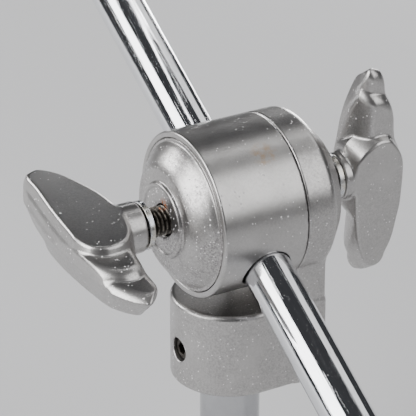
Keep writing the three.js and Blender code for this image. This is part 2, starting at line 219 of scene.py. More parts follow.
def ring_faces(rings, segments):
    """Faces between neighbouring rings of point numbers; a ring of one point is a pole."""
    faces = []
    for low, high in zip(rings, rings[1:]):
        for k in range(segments):
            n = (k + 1) % segments
            face = [low[k % len(low)], low[n % len(low)], high[n % len(high)], high[k % len(high)]]
            face = list(dict.fromkeys(face))
            if len(face) > 2:
                faces.append(face)
    return faces


def ring_of_points(points, x, radii, angles):
    """Adds one ring round X, or one point where the radius is nothing, and gives its numbers."""
    first = len(points)
    if radii[0] < 1e-6:
        points.append((x, 0, 0))
    else:
        points += [(x, r * math.cos(a), r * math.sin(a)) for r, a in zip(radii, angles)]
    return list(range(first, len(points)))


def turned(name, profile, place=Matrix.Identity(4), segments=96, closed=False):
    """A profile of (x, radius) points turned about X. A closed profile makes a ring."""
    angles = [2 * math.pi * k / segments for k in range(segments)]
    points = []
    rings = [ring_of_points(points, x, [r] * segments, angles) for x, r in profile]
    if closed:
        rings.append(rings[0])
    obj = piece(name, points, ring_faces(rings, segments), place)
    weigh = obj.modifiers.new("even_shading", "WEIGHTED_NORMAL")
    weigh.keep_sharp = True
    face_outward(obj)
    return obj


def face_outward(obj):
    """Turns the faces of a closed mesh outward."""
    co = np.empty(3 * len(obj.data.vertices))
    obj.data.vertices.foreach_get("co", co)
    co = co.reshape(-1, 3)
    volume = 0.0
    for poly in obj.data.polygons:
        a, *rest = [co[v] for v in poly.vertices]
        for b, c in zip(rest, rest[1:]):
            volume += np.dot(a, np.cross(b, c))
    if volume < 0:
        obj.data.flip_normals()


def hollow_ring(name, start, end, inner, outer, edge, place=Matrix.Identity(4), segments=72):
    """A tube or washer about X with rounded edges."""
    middle = (inner + outer) / 2
    corners = [
        (start, middle, 0),
        (start, outer, edge),
        (end, outer, edge),
        (end, inner, edge),
        (start, inner, edge),
        (start, middle - 0.01, 0),
    ]
    return turned(name, filleted(corners)[:-1], place, segments, closed=True)


def thread_wave(phase):
    """Height from root (0) to crest (1) of a rolled thread with flat crest and root."""
    root_share, flank_share = 0.12, 0.66
    ramp = np.abs((phase % 1.0) - 0.5) * 2
    return np.clip((ramp - root_share) / flank_share, 0, 1)


def threaded(name, profile, thread_start, thread_end, place=Matrix.Identity(4), segments=48):
    """A turned bar whose stretch from thread_start to thread_end carries a real helical thread."""
    end_set_in = 0.35
    stations = [(x, r, False) for x, r in profile if x < thread_start]
    count = int(round((thread_end - thread_start) / THREAD_PITCH * STATIONS_PER_THREAD))
    for k in range(count + 1):
        x = thread_start + (thread_end - thread_start) * k / count
        stations.append((x, THREAD_RADIUS, True))
    stations += [(x, r, False) for x, r in profile if x > thread_end]
    angles = 2 * np.pi * np.arange(segments) / segments
    points, rings = [], []
    for x, r, cut in stations:
        radii = np.full(segments, float(r))
        if cut:
            runout = np.clip(min(x - thread_start, thread_end - x) / THREAD_PITCH, 0, 1)
            groove = 1 - thread_wave(x / THREAD_PITCH - angles / (2 * np.pi))
            radii = r - THREAD_DEPTH * groove * runout - end_set_in * (1 - runout)
        rings.append(ring_of_points(points, x, radii, angles))
    obj = piece(name, points, ring_faces(rings, segments), place)
    face_outward(obj)
    return obj


# ---- cast pieces, from distance fields ---------------------------------------------------------
def both(a, b, rounding=0.0):
    """Distance field of what two fields share, its edge rounded."""
    if rounding <= 0:
        return np.maximum(a, b)
    u = np.maximum(a + rounding, 0)
    v = np.maximum(b + rounding, 0)
    return np.minimum(np.maximum(a, b), -rounding) + np.hypot(u, v)


def either(a, b, fillet=0.0):
    """Distance field of two fields joined, with a fillet between them."""
    return -both(-a, -b, fillet)


def slab(v, low, high):
    """Distance field of the space between two planes."""
    return np.maximum(low - v, v - high)


def cast(name, field, low, high, step, place=Matrix.Identity(4)):
    """The zero surface of a distance field as a quad mesh: one vertex for each crossed cell,
    drawn onto the surface, and one quad for each crossed grid edge."""
    axes = [np.arange(a, b + step, step) for a, b in zip(low, high)]
    inside = field(*np.meshgrid(*axes, indexing="ij")) < 0
    nx, ny, nz = (n - 1 for n in inside.shape)
    count = sum(
        inside[i : nx + i, j : ny + j, k : nz + k].astype(int)
        for i in (0, 1) for j in (0, 1) for k in (0, 1)
    )
    cells = np.argwhere((count > 0) & (count < 8))
    index = np.full(count.shape, -1)
    index[tuple(cells.T)] = np.arange(len(cells))
    centre = np.array(low) + (cells + 0.5) * step
    points = centre.copy()
    for _ in range(6):
        slope = gradient(field, points)
        points -= (field(*points.T) / np.maximum((slope**2).sum(1), 0.2))[:, None] * slope
        points = np.clip(points, centre - 0.7 * step, centre + 0.7 * step)
    slope = gradient(field, points)
    normals = slope / np.maximum(np.linalg.norm(slope, axis=1), 1e-6)[:, None]
    quads = []
    for axis in range(3):
        shift = np.eye(3, dtype=int)[axis]
        u, v = np.eye(3, dtype=int)[(axis + 1) % 3], np.eye(3, dtype=int)[(axis + 2) % 3]
        here = inside[tuple(slice(0, n - s) for n, s in zip(inside.shape, shift))]
        there = inside[tuple(slice(s, n) for n, s in zip(inside.shape, shift))]
        for rising in (True, False):
            edges = np.argwhere((here & ~there) if rising else (~here & there))
            ring = [edges - u - v, edges - v, edges, edges - u]
            quad = np.stack([index[tuple(c.T)] for c in ring], 1)
            quads.append(quad if rising else quad[:, ::-1])
    return piece(name, points, np.concatenate(quads), place, normals)


def gradient(field, points, reach=0.02):
    """Slope of a field at each point, by central differences."""
    columns = []
    for axis in range(3):
        offset = np.zeros(3)
        offset[axis] = reach
        columns.append((field(*(points + offset).T) - field(*(points - offset).T)) / (2 * reach))
    return np.stack(columns, 1)


def rod_distance(x, y, z):
    """Distance from the boom rod's axis."""
    return np.hypot(x, z * math.cos(PITCH) - y * math.sin(PITCH))


def drum_field(x, y, z):
    """Drum with its pivot spigot, cap seat, pad bore, stud seat, pin hole and rod bore."""
    radius = np.hypot(y, z)
    body = both(radius - DRUM_RADIUS, slab(x, DRUM_LEFT, 5), 0.6)
    body = either(body, both(radius - DRUM_RADIUS, slab(x, 0, DRUM_RIGHT), 0.15))
    spigot = both(radius - PIVOT_RADIUS, slab(x, 0, PIVOT_END), 0.4)
    solid = either(body, spigot)
    seat = both(radius - CAP_RADIUS - 0.1, x - CAP_BACK - GAP)
    pad_bore = both(radius - PAD_BORE_RADIUS, x - PAD_BORE_END)
    stud_bore = both(radius - HOLE_RADIUS, STUD_SEAT - x)
    pin_bore = np.hypot(x - PIN_CENTRE, y) - PIN_RADIUS - GAP
    for hollow, edge in ((seat, 0.35), (pad_bore, 0.2), (stud_bore, 0.2), (pin_bore, 0.1)):
        solid = both(solid, -hollow, edge)
    return both(solid, ROD_BORE_RADIUS - rod_distance(x + ROD_BORE_SHIFT, y, z), 0.3)


def bracket_field(x, y, z):
    """Disc with a conical boss, a riser beside the drum and a foot that is round at the front."""
    radius = np.hypot(y, z)
    lip = 0.8
    run = BOSS_RIGHT - lip - DISC_RIGHT
    drop = DRUM_RADIUS - lip - (BOSS_RADIUS + lip)
    cone = ((x - DISC_RIGHT) * drop + (radius - DRUM_RADIUS + lip) * run) / math.hypot(run, drop)
    disc = both(radius - DRUM_RADIUS, slab(x, DISC_LEFT, BOSS_RIGHT), 0.55)
    disc = both(disc, cone, 0.9)
    half_round = np.hypot(np.minimum(x, 0), y) - FOOT_HALF_WIDTH
    outline = both(half_round, x - FOOT_BACK, 1.2)
    foot = both(outline, z + SHELF_DROP, 1.3)
    foot = both(foot, -FOOT_DROP - z, 0.8)
    riser = both(np.abs(y) - FOOT_HALF_WIDTH, slab(x, DISC_LEFT, FOOT_BACK), 1.2)
    riser = both(riser, slab(z, -FOOT_DROP, RISER_TOP), 0.8)
    solid = either(either(foot, riser, 1.0), disc, 1.2)
    hollows = (
        (both(slab(radius, FIBRE_INNER - GAP, FIBRE_OUTER + GAP), x - FIBRE_RIGHT - GAP), 0.15),
        (both(radius - PIVOT_RADIUS - GAP, x - PIVOT_END - GAP), 0.3),
        (both(radius - HOLE_RADIUS, PIVOT_END - 1 - x), 0.4),
        (both(np.hypot(x, y) - TUBE_RADIUS - TUBE_CLEARANCE, z - TUBE_TOP - GAP), 0.5),
        (both(np.hypot(y, z + SET_SCREW_DROP) - SET_SCREW_RADIUS - GAP, x + TUBE_RADIUS), 0.45),
    )
    for hollow, edge in hollows:
        solid = both(solid, -hollow, edge)
    return solid


def smooth_loop(knots, steps=14):
    """A closed Catmull-Rom curve through the knots."""
    knots = np.array(knots, float)
    before, after, beyond = np.roll(knots, 1, 0), np.roll(knots, -1, 0), np.roll(knots, -2, 0)
    t = (np.arange(steps) / steps)[None, :, None]
    p0, p1, p2, p3 = (k[:, None, :] for k in (before, knots, after, beyond))
    square = 2 * p0 - 5 * p1 + 4 * p2 - p3
    cube = 3 * p1 - p0 - 3 * p2 + p3
    curve = 2 * p1 + (p2 - p0) * t + square * t**2 + cube * t**3
    return 0.5 * curve.reshape(-1, 2)


class Outline:
    """Signed distance from a closed curve, kept on a raster so that it is quick to read."""

    STEP = 0.2
    MARGIN = 6.0

    def __init__(self, curve):
        self.low = curve.min(0) - self.MARGIN
        shape = np.ceil((curve.max(0) + self.MARGIN - self.low) / self.STEP).astype(int) + 1
        raster = [self.low[i] + self.STEP * np.arange(shape[i]) for i in (0, 1)]
        x, y = np.meshgrid(*raster, indexing="ij")
        nearest = np.full(x.shape, np.inf)
        inside = np.zeros(x.shape, bool)
        for a, b in zip(curve, np.roll(curve, -1, 0)):
            side = b - a
            along = (x - a[0]) * side[0] + (y - a[1]) * side[1]
            share = np.clip(along / max(side @ side, 1e-12), 0, 1)
            gap = np.hypot(x - a[0] - share * side[0], y - a[1] - share * side[1])
            nearest = np.minimum(nearest, gap)
            if a[1] != b[1]:
                crossing = a[0] + (y - a[1]) * side[0] / side[1]
                inside ^= ((a[1] > y) != (b[1] > y)) & (x < crossing)
        self.distance = np.where(inside, -nearest, nearest)

    def __call__(self, x, y):
        u = np.clip((x - self.low[0]) / self.STEP, 0, self.distance.shape[0] - 1.001)
        v = np.clip((y - self.low[1]) / self.STEP, 0, self.distance.shape[1] - 1.001)
        i, j = u.astype(int), v.astype(int)
        u, v = u - i, v - j
        d = self.distance
        near = d[i, j] * (1 - v) + d[i, j + 1] * v
        far = d[i + 1, j] * (1 - v) + d[i + 1, j + 1] * v
        return near * (1 - u) + far * u


def wing_field(form):
    """Distance field of a wing: hub face at x = 0, flat lobe towards -Y, flat face towards +Z."""
    centre = form["centre"]
    outlines = [
        Outline(smooth_loop(form["flat_lobe"] + end) - np.array([centre, 0.0])) for end in form["ends"]
    ]

    def steps(x, y, z, depth, spread):
        """One face's three feathers; x is measured from the wing's centre line. The two lower
        ones roll down towards the hub."""
        narrowing = 1 - WING_TAPER * depth
        slope = np.clip(form["roll_from"] - centre - x, 0, ROLL_REACH) / form["roll_radius"]
        whole = None
        for i, outline in enumerate(outlines):
            top = z - form["levels"][i]
            if i > 0:
                top = (top + slope**2 * form["roll_radius"] / 2) / np.hypot(1, slope)
            side = outline(x / narrowing, y / narrowing) * narrowing - spread
            feather = both(side, top, form["rounds"][i])
            whole = feather if whole is None else either(whole, feather, 0.5)
        return whole

    def field(x, y, z):
        across = x - centre
        near = steps(across, y, z, np.abs(z), 0)
        spread = form["far_spread"] * np.clip(z, 0, None)
        far = steps(across, form["far_shift"] - y, -z, np.clip(-z, 0, None), spread)
        far = both(far, outlines[-1](np.minimum(across, 0), y), 0.8)
        radius = np.hypot(y, z)
        hub = both(radius - form["hub_radius"], slab(x, 0, form["hub_length"]), 0.6)
        solid = either(both(near, far, 1.0), hub, 0.8)
        solid = both(solid, np.minimum(hub, np.abs(z) - form["levels"][0]))
        bore = both(radius - form["bore_radius"], x - WING_BORE_DEPTH)
        return both(solid, -bore, 0.3)

    return field


# ---- materials -------------------------------------------------------------------------------
class Surface:
    """A Principled material with short names for the nodes that its detail is made of."""

    def __init__(self, name, metallic, colour, roughness):
        self.material = bpy.data.materials.new(name)
        self.material.use_nodes = True
        self.tree = self.material.node_tree
        self.shader = self.tree.nodes["Principled BSDF"]
        self.shader.inputs["Metallic"].default_value = metallic
        self.shader.inputs["Base Color"].default_value = (*colour, 1)
        self.shader.inputs["Roughness"].default_value = roughness
        place = self.node("ShaderNodeTexCoord")
        scale = self.node("ShaderNodeVectorMath", operation="SCALE")
        scale.inputs["Scale"].default_value = 1 / MM
        self.link(place.outputs["Object"], scale.inputs[0])
        self.millimetres = scale.outputs[0]

    def node(self, kind, **settings):
        """A new node with its settings."""
        made = self.tree.nodes.new(kind)
        for key, value in settings.items():
            setattr(made, key, value)
        return made

    def link(self, source, target):
        self.tree.links.new(source, target)

    def feed(self, value, socket):
        """Sets a socket to a number or colour, or links an output to it."""
        if isinstance(value, bpy.types.NodeSocket):
            self.link(value, socket)
        elif isinstance(value, tuple) and len(value) == 3 and socket.type == "RGBA":
            socket.default_value = (*value, 1)
        else:
            socket.default_value = value

    def stretched(self, x, y, z, turn=(0, 0, 0)):
        """Millimetre coordinates, turned and then scaled along each axis."""
        turned_node = self.node("ShaderNodeMapping", vector_type="POINT")
        turned_node.inputs["Rotation"].default_value = turn
        self.link(self.millimetres, turned_node.inputs["Vector"])
        scaled = self.node("ShaderNodeVectorMath", operation="MULTIPLY")
        scaled.inputs[1].default_value = (x, y, z)
        self.link(turned_node.outputs[0], scaled.inputs[0])
        return scaled.outputs[0]

    def noise(self, per_mm, detail=3.0, rough=0.5, vector=None):
        """Noise with about per_mm features to a millimetre."""
        made = self.node("ShaderNodeTexNoise")
        made.inputs["Scale"].default_value = per_mm
        made.inputs["Detail"].default_value = detail
        made.inputs["Roughness"].default_value = rough
        self.link(vector or self.millimetres, made.inputs["Vector"])
        return made.outputs["Fac"]

    def ramp(self, value, low, high, out_low=0.0, out_high=1.0):
        """Maps value from low..high to out_low..out_high, smoothly and clamped."""
        made = self.node("ShaderNodeMapRange", interpolation_type="SMOOTHSTEP")
        for socket, number in zip(made.inputs[1:5], (low, high, out_low, out_high)):
            socket.default_value = number
        self.link(value, made.inputs["Value"])
        return made.outputs[0]

    def math(self, operation, a, b):
        """Two numbers or outputs put together; every result but a sum is clamped to 0..1."""
        made = self.node("ShaderNodeMath", operation=operation, use_clamp=operation != "ADD")
        self.feed(a, made.inputs[0])
        self.feed(b, made.inputs[1])
        return made.outputs[0]

    def mix(self, share, a, b):
        """Colour a with a share of colour b over it."""
        made = self.node("ShaderNodeMix", data_type="RGBA")
        self.feed(share, made.inputs["Factor"])
        self.feed(a, made.inputs[6])
        self.feed(b, made.inputs[7])
        return made.outputs[2]

    def near(self, point, reach):
        """1 at a point given in millimetres from the drum's centre, falling to 0 at reach."""
        gap = self.node("ShaderNodeVectorMath", operation="DISTANCE")
        gap.inputs[1].default_value = (point[0], point[1], point[2] + AXIS_HEIGHT)
        self.link(self.millimetres, gap.inputs[0])
        return self.ramp(gap.outputs["Value"], 0.35 * reach, reach, 1, 0)

    def radius(self):
        """Distance from the drum's axis, in millimetres."""
        centred = self.node("ShaderNodeVectorMath", operation="SUBTRACT")
        centred.inputs[1].default_value = (0, 0, AXIS_HEIGHT)
        self.link(self.millimetres, centred.inputs[0])
        flat = self.node("ShaderNodeVectorMath", operation="MULTIPLY")
        flat.inputs[1].default_value = (0, 1, 1)
        self.link(centred.outputs[0], flat.inputs[0])
        length = self.node("ShaderNodeVectorMath", operation="LENGTH")
        self.link(flat.outputs[0], length.inputs[0])
        return length.outputs["Value"]

    def specks(self, per_mm, size, share):
        """Scattered round specks: one in a share of the cells, size across in cell widths."""
        cells = self.node("ShaderNodeTexVoronoi", feature="F1")
        cells.inputs["Scale"].default_value = per_mm
        self.link(self.millimetres, cells.inputs["Vector"])
        parts = self.node("ShaderNodeSeparateXYZ")
        self.link(cells.outputs["Color"], parts.inputs[0])
        chosen = self.math("GREATER_THAN", parts.outputs["X"], 1 - share)
        spot = self.ramp(cells.outputs["Distance"], 0.6 * size, size, 1, 0)
        return self.math("MULTIPLY", spot, chosen)

    def bump(self, height, depth_mm, strength, below=None):
        """Relief of depth_mm, laid over another relief if there is one below."""
        made = self.node("ShaderNodeBump")
        made.inputs["Strength"].default_value = strength
        made.inputs["Distance"].default_value = depth_mm * MM
        self.link(height, made.inputs["Height"])
        if below is not None:
            self.link(below, made.inputs["Normal"])
        return made.outputs[0]

    def finish(self, **sockets):
        """Links or sets the shader's sockets and gives back the material."""
        for name, value in sockets.items():
            self.feed(value, self.shader.inputs[name.replace("_", " ")])
        return self.material


GRIME = (0.2, 0.185, 0.19)
DUST = (0.88, 0.86, 0.87)
RUST = (0.42, 0.13, 0.035)
DARK_RUST = (0.16, 0.05, 0.02)
STAIN = (0.5, 0.3, 0.13)


def satin_nickel(name, dustiness, stain=None, rust=None):
    """Satin plated casting: faint mottling, a grainy dark film in patches and pin-head dust.
    A stain and a rust spot are each a point and a reach in millimetres."""
    s = Surface(name, 1.0, (0.5, 0.49, 0.48), 0.33)
    mottle = s.noise(0.12, 4, 0.6)
    grain = s.noise(6.0, 3, 0.7)
    film = s.math("MULTIPLY", s.ramp(s.noise(1.7, 5, 0.85), 0.45, 0.56), dustiness)
    film = s.math("MULTIPLY", film, s.ramp(s.noise(0.07, 3, 0.5), 0.36, 0.56, 0.3, 1.0))
    fine = s.specks(1.3, 0.28, 0.35 * dustiness)
    coarse = s.specks(0.45, 0.13, 0.7 * dustiness)
    dust = s.math("MAXIMUM", fine, coarse)
    colour = s.mix(s.ramp(mottle, 0.3, 0.7), (0.475, 0.465, 0.455), (0.515, 0.505, 0.495))
    colour = s.mix(s.math("MULTIPLY", film, 0.8), colour, GRIME)
    if stain:
        mark = s.math("MULTIPLY", s.near(*stain), s.ramp(s.noise(0.5, 4, 0.6), 0.4, 0.62))
        colour = s.mix(s.math("MULTIPLY", mark, 0.55), colour, STAIN)
    rusty = None
    if rust:
        rusty = s.math("MULTIPLY", s.near(*rust), s.ramp(s.noise(1.6, 5, 0.7), 0.38, 0.52))
        colour = s.mix(rusty, colour, s.mix(s.noise(2.5, 2), RUST, DARK_RUST))
    colour = s.mix(s.math("MULTIPLY", dust, 0.95), colour, DUST)
    dull = s.math("MAXIMUM", s.math("MULTIPLY", dust, 0.95), s.math("MULTIPLY", film, 0.15))
    dull = s.math("MAXIMUM", dull, rusty) if rusty else dull
    metal = s.math("SUBTRACT", 1.0, dull)
    rough = s.ramp(s.noise(0.2, 3, 0.5), 0.3, 0.7, 0.29, 0.33)
    rough = s.math("ADD", rough, s.math("MULTIPLY", dull, 0.4))
    relief = s.bump(grain, 0.02, 0.25)
    relief = s.bump(dust, 0.06, 0.8, relief)
    return s.finish(Base_Color=colour, Metallic=metal, Roughness=rough, Normal=relief)


def mirror_chrome(name, turn, wear=1.0, shade_tone=1.0):
    """Mirror chrome on tube: long hairlines, short scuffs and pinprick pits. The turn lays the
    hairlines along the tube; a shade tone under 1 darkens the colour as painted shade."""
    s = Surface(name, 1.0, (0.8, 0.81, 0.83), 0.06)
    along = s.stretched(0.05, 2.6, 2.6, turn)
    hairline = s.ramp(s.noise(1.0, 5, 0.75, along), 0.56, 0.62)
    scuff = s.ramp(s.noise(0.5, 6, 0.7, s.stretched(0.5, 1.6, 1.6, turn)), 0.6, 0.72)
    haze = s.ramp(s.noise(0.15, 4, 0.6), 0.35, 0.75)
    pits = s.specks(2.4, 0.17, 0.16 * wear)
    grit = s.specks(0.8, 0.1, 0.22 * wear)
    marks = s.math("MAXIMUM", pits, grit)
    bright = (0.82 * shade_tone, 0.83 * shade_tone, 0.85 * shade_tone)
    dim = (0.7 * shade_tone, 0.7 * shade_tone, 0.73 * shade_tone)
    colour = s.mix(s.math("MULTIPLY", haze, 0.5), bright, dim)
    colour = s.mix(s.math("MULTIPLY", pits, 0.7), colour, (0.2, 0.17, 0.15))
    colour = s.mix(s.math("MULTIPLY", grit, 0.8), colour, (0.75, 0.74, 0.74))
    rough = s.math("ADD", s.math("MULTIPLY", hairline, 0.1), s.math("MULTIPLY", scuff, 0.16))
    rough = s.math("ADD", rough, s.math("MULTIPLY", marks, 0.4))
    rough = s.math("ADD", rough, s.math("MULTIPLY", haze, 0.05))
    rough = s.math("ADD", rough, 0.045)
    metal = s.math("SUBTRACT", 1.0, s.math("MULTIPLY", grit, 0.8))
    relief = s.bump(s.math("MAXIMUM", marks, s.math("MULTIPLY", hairline, 0.3)), 0.03, 0.35)
    return s.finish(Base_Color=colour, Metallic=metal, Roughness=rough, Normal=relief)


def black_oxide(name, crest=None, rust=None):
    """Black oxide steel. Crest is the range of radius where thread crests are rubbed bright."""
    s = Surface(name, 0.85, (0.035, 0.031, 0.028), 0.42)
    colour = s.mix(s.noise(1.1, 4, 0.6), (0.02, 0.018, 0.016), (0.065, 0.056, 0.046))
    if crest:
        worn = s.ramp(s.noise(0.9, 4, 0.7), 0.38, 0.62)
        rubbed = s.math("MULTIPLY", s.ramp(s.radius(), *crest), worn)
        colour = s.mix(s.math("MULTIPLY", rubbed, 0.75), colour, (0.36, 0.33, 0.29))
    if rust:
        rusty = s.math("MULTIPLY", s.near(*rust), s.ramp(s.noise(1.4, 5, 0.7), 0.45, 0.6))
        colour = s.mix(rusty, colour, RUST)
    rough = s.ramp(s.noise(2.0, 3, 0.6), 0.3, 0.7, 0.3, 0.52)
    relief = s.bump(s.noise(5.0, 3, 0.7), 0.03, 0.35)
    return s.finish(Base_Color=colour, Roughness=rough, Normal=relief)


def zinc_steel(name):
    """Bright zinc: bluish with yellow patches, and turning marks round the axis."""
    s = Surface(name, 1.0, (0.6, 0.61, 0.63), 0.28)
    patches = s.ramp(s.noise(0.3, 4, 0.6), 0.35, 0.68)
    colour = s.mix(patches, (0.58, 0.6, 0.64), (0.64, 0.61, 0.54))
    specks = s.specks(1.5, 0.2, 0.2)
    colour = s.mix(s.math("MULTIPLY", specks, 0.6), colour, (0.25, 0.2, 0.16))
    rough = s.ramp(s.noise(1.2, 4, 0.6), 0.3, 0.7, 0.2, 0.4)
    rings = s.noise(6.0, 2, 0.5, s.stretched(1, 0.15, 0.15))
    return s.finish(Base_Color=colour, Roughness=rough, Normal=s.bump(rings, 0.012, 0.3))


def turned_brass(name):
    """Brass, browned in patches."""
    s = Surface(name, 1.0, (0.7, 0.5, 0.22), 0.3)
    browned = s.ramp(s.noise(0.4, 4, 0.6), 0.35, 0.7)
    colour = s.mix(browned, (0.72, 0.52, 0.24), (0.5, 0.33, 0.13))
    rough = s.ramp(s.noise(1.0, 3, 0.6), 0.3, 0.7, 0.22, 0.42)
    return s.finish(Base_Color=colour, Roughness=rough, Normal=s.bump(s.noise(4, 2), 0.02, 0.3))


def moulded(name, light, dark, roughness, flecked=False):
    """Plastic or fibre: slightly uneven colour, fine texture and a few scuffs."""
    s = Surface(name, 0.0, light, roughness)
    colour = s.mix(s.ramp(s.noise(0.5, 5, 0.65), 0.3, 0.7), light, dark)
    scuff = s.ramp(s.noise(0.9, 6, 0.75, s.stretched(0.4, 2, 2)), 0.6, 0.7)
    rough = s.math("ADD", s.math("MULTIPLY", scuff, 0.15), roughness)
    if flecked:
        flecks = s.specks(2.0, 0.3, 0.4)
        colour = s.mix(s.math("MULTIPLY", flecks, 0.5), colour, (0.3, 0.14, 0.1))
    relief = s.bump(s.noise(3.5, 4, 0.6), 0.05, 0.5)
    return s.finish(Base_Color=colour, Roughness=rough, Normal=relief)


# ---- pieces ----------------------------------------------------------------------------------
def lower_tube():
    """Stand tube, upright under the foot."""
    return hollow_ring(
        "lower_tube", -AXIS_HEIGHT, TUBE_TOP, TUBE_INNER_RADIUS, TUBE_RADIUS, TUBE_EDGE, UPRIGHT, 128
    )


def rod_tube():
    """Boom rod."""
    return hollow_ring(
        "rod_tube", ROD_FRONT, ROD_REAR, ROD_INNER_RADIUS, ROD_RADIUS, TUBE_EDGE, ALONG_ROD, 128
    )


def fibre_ring():
    """Friction washer between drum and bracket."""
    return hollow_ring("fibre_ring", FIBRE_LEFT, FIBRE_RIGHT, FIBRE_INNER, FIBRE_OUTER, 0.1)


def flat_washer(name, start, radius):
    """Plain steel washer on an M8 screw."""
    return hollow_ring(name, start, start + WASHER_THICKNESS, HOLE_RADIUS, radius, 0.3)


def drum_cap():
    """Flat rim, domed flank, raised boss with a bead round the hole."""
    corners = [
        (-17, 6.4, 0),
        (CAP_BACK, 8.5, 0.3),
        (CAP_BACK, CAP_RADIUS, 0.2),
        (-14.25, CAP_RADIUS, 0.3),
        (-14.25, 19.3, 0.35),
        (-15.5, 18.4, 1.6),
        (-17.4, 16.6, 2.2),
        (-18.9, 14.6, 1.6),
        (-19.6, 13.2, 0.5),
        (-19.6, 10.1, 0.4),
        (-20.6, 9.9, 0.5),
        (-20.7, 8.9, 0.5),
        (-20.25, 8.6, 0.3),
        (-20.25, 5.2, 0.3),
        (-19.8, HOLE_RADIUS, 0.3),
        (-17, HOLE_RADIUS, 0.2),
        (-17, 6.39, 0),
    ]
    return turned("cap", filleted(corners)[:-1], segments=144, closed=True)


def set_screw():
    """Grub screw with a hex socket, a little below the foot's surface."""
    outer = -FOOT_HALF_WIDTH + 1.2
    socket_end = outer + 3
    inner = outer + 6
    socket_flat = 1.5
    margin = 0.5
    wide = SET_SCREW_RADIUS + margin

    def field(x, y, z):
        radius = np.hypot(y, z)
        angle = np.arctan2(z, y)
        sector = np.abs((angle % (math.pi / 3)) - math.pi / 6)
        hexagon = radius * np.cos(sector) - socket_flat
        body = both(radius - SET_SCREW_RADIUS, slab(x, outer, inner), 0.45)
        return both(body, -both(hexagon, x - socket_end), 0.08)

    low = (outer - margin, -wide, -wide)
    high = (inner + margin, wide, wide)
    place = Matrix.Translation((0, 0, -SET_SCREW_DROP))
    return cast("grub_screw", field, low, high, SCREW_CELL, place)


def spring_washer():
    """Split washer of square wire: one turn of a low helix with its ends set apart."""
    inner, outer, thick, rise, chamfer = HOLE_RADIUS, 7.2, 1.3, 0.55, 0.2
    start, count = BOSS_RIGHT + 2.2, 88
    gap = math.radians(9)
    section = (
        (0, inner), (0, outer - chamfer), (chamfer, outer), (thick - chamfer, outer),
        (thick, outer - chamfer), (thick, inner),
    )
    sides = len(section)
    points, faces = [], []
    for k in range(count + 1):
        share = k / count
        a = math.pi / 2 + gap / 2 + share * (2 * math.pi - gap)
        base = start + rise * share
        points += [(base + x, r * math.cos(a), r * math.sin(a)) for x, r in section]
    for k in range(count):
        here, ahead = sides * k, sides * (k + 1)
        for i in range(sides):
            j = (i + 1) % sides
            faces.append((here + i, here + j, ahead + j, ahead + i))
    faces += [tuple(range(sides - 1, -1, -1)), tuple(range(sides * count, sides * (count + 1)))]
    obj = piece("split_washer", points, faces)
    obj.data.set_sharp_from_angle(angle=math.radians(40))
    face_outward(obj)
    return obj


def boom_rod_spigot():
    """Plug in the rod's head end with a shoulder and a threaded spigot."""
    face = ROD_REAR + GAP
    plug_end = ROD_REAR - 14
    shoulder = face + 6
    end = shoulder + 18
    neck_radius = 3.2
    corners = [
        (plug_end, 0, 0),
        (plug_end, PLUG_RADIUS, 0.5),
        (face, PLUG_RADIUS, 0),
        (face, ROD_RADIUS, 0.3),
        (shoulder, ROD_RADIUS, 0.6),
        (shoulder, neck_radius, 0.1),
        (shoulder + 0.9, neck_radius, 0.2),
    ]
    profile = [tuple(p) for p in filleted(corners)] + [(end - 0.3, 3.0), (end, 2.4), (end, 0)]
    return threaded("head_spigot", profile, shoulder + 1, end - 0.6, ALONG_ROD)


def boom_rod_cap():
    """Domed plastic plug in the rod's tail end."""
    face = ROD_FRONT - GAP
    plug_end = ROD_FRONT + 12
    corners = [
        (plug_end, 0, 0),
        (plug_end, PLUG_RADIUS, 0.6),
        (face, PLUG_RADIUS, 0.1),
        (face, 7.25, 0.35),
        (face - 3.6, 7.2, 1.0),
        (face - 6.2, 6.3, 1.6),
        (face - 7.6, 3.2, 1.6),
        (face - 7.6, 0, 0),
    ]
    return turned("tail_cap", filleted(corners, 7), ALONG_ROD)


def pad_liner():
    """Nylon disc with a saddle that fits the rod."""
    left, right, outer, margin = -10, -4.2, 7.6, 0.6

    def field(x, y, z):
        body = both(np.hypot(y, z) - outer, slab(x, left, right), 0.3)
        return both(body, ROD_RADIUS + GAP - rod_distance(x, y, z), 0.2)

    low = (left - margin, -outer - margin, -outer - margin)
    high = (right + margin, outer + margin, outer + margin)
    return cast("saddle", field, low, high, SADDLE_CELL)


def brass_pad():
    """Brass disc with a blind seat for the clamp screw's tip."""
    left, right, seat = -13.6, -10.3, -11.6
    corners = [
        (left, 5, 0),
        (left, 7.9, 0.4),
        (right, 7.9, 0.4),
        (right, 0, 0),
        (seat, 0, 0),
        (seat, 3.1, 0.1),
        (left, 3.1, 0.3),
        (left, 4.99, 0),
    ]
    return turned("pad", filleted(corners)[:-1], segments=72, closed=True)


def wing_piece(name, form, place):
    """A cast wing, made in its own space and put in place."""
    half = form["levels"][0] + CAST_MARGIN
    return cast(name, wing_field(form), (*WING_LOW, -half), (*WING_HIGH, half), WING_CELL, place)


def clamp_screw():
    """Stud of the left wing: a shank in the wing's hub, a thread and a plain tip."""
    head = LEFT_HUB - 12
    shank_end = LEFT_HUB - GAP
    profile = [
        (head, 0), (head, 4.1), (head + 0.5, 4.6), (shank_end - 0.2, 4.6), (shank_end, 4.4),
        (shank_end + 0.05, 3.5), (-14.3, 2.8), (-12.2, 2.8), (-11.9, 2.5), (-11.9, 0),
    ]
    return threaded("clamp_screw", profile, shank_end + 0.1, -14.4)


def tilt_screw():
    """Stud of the right wing, threaded where the nut runs."""
    start, end = STUD_SEAT + GAP, RIGHT_HUB + 11
    thread_start = BOSS_RIGHT + 3.6
    profile = [
        (start, 0), (start, 3.45), (start + 0.5, THREAD_RADIUS), (thread_start - 0.1, THREAD_RADIUS),
        (end - 0.4, 3.1), (end, 2.8), (end, 0),
    ]
    return threaded("tilt_screw", profile, thread_start, end - 0.5)


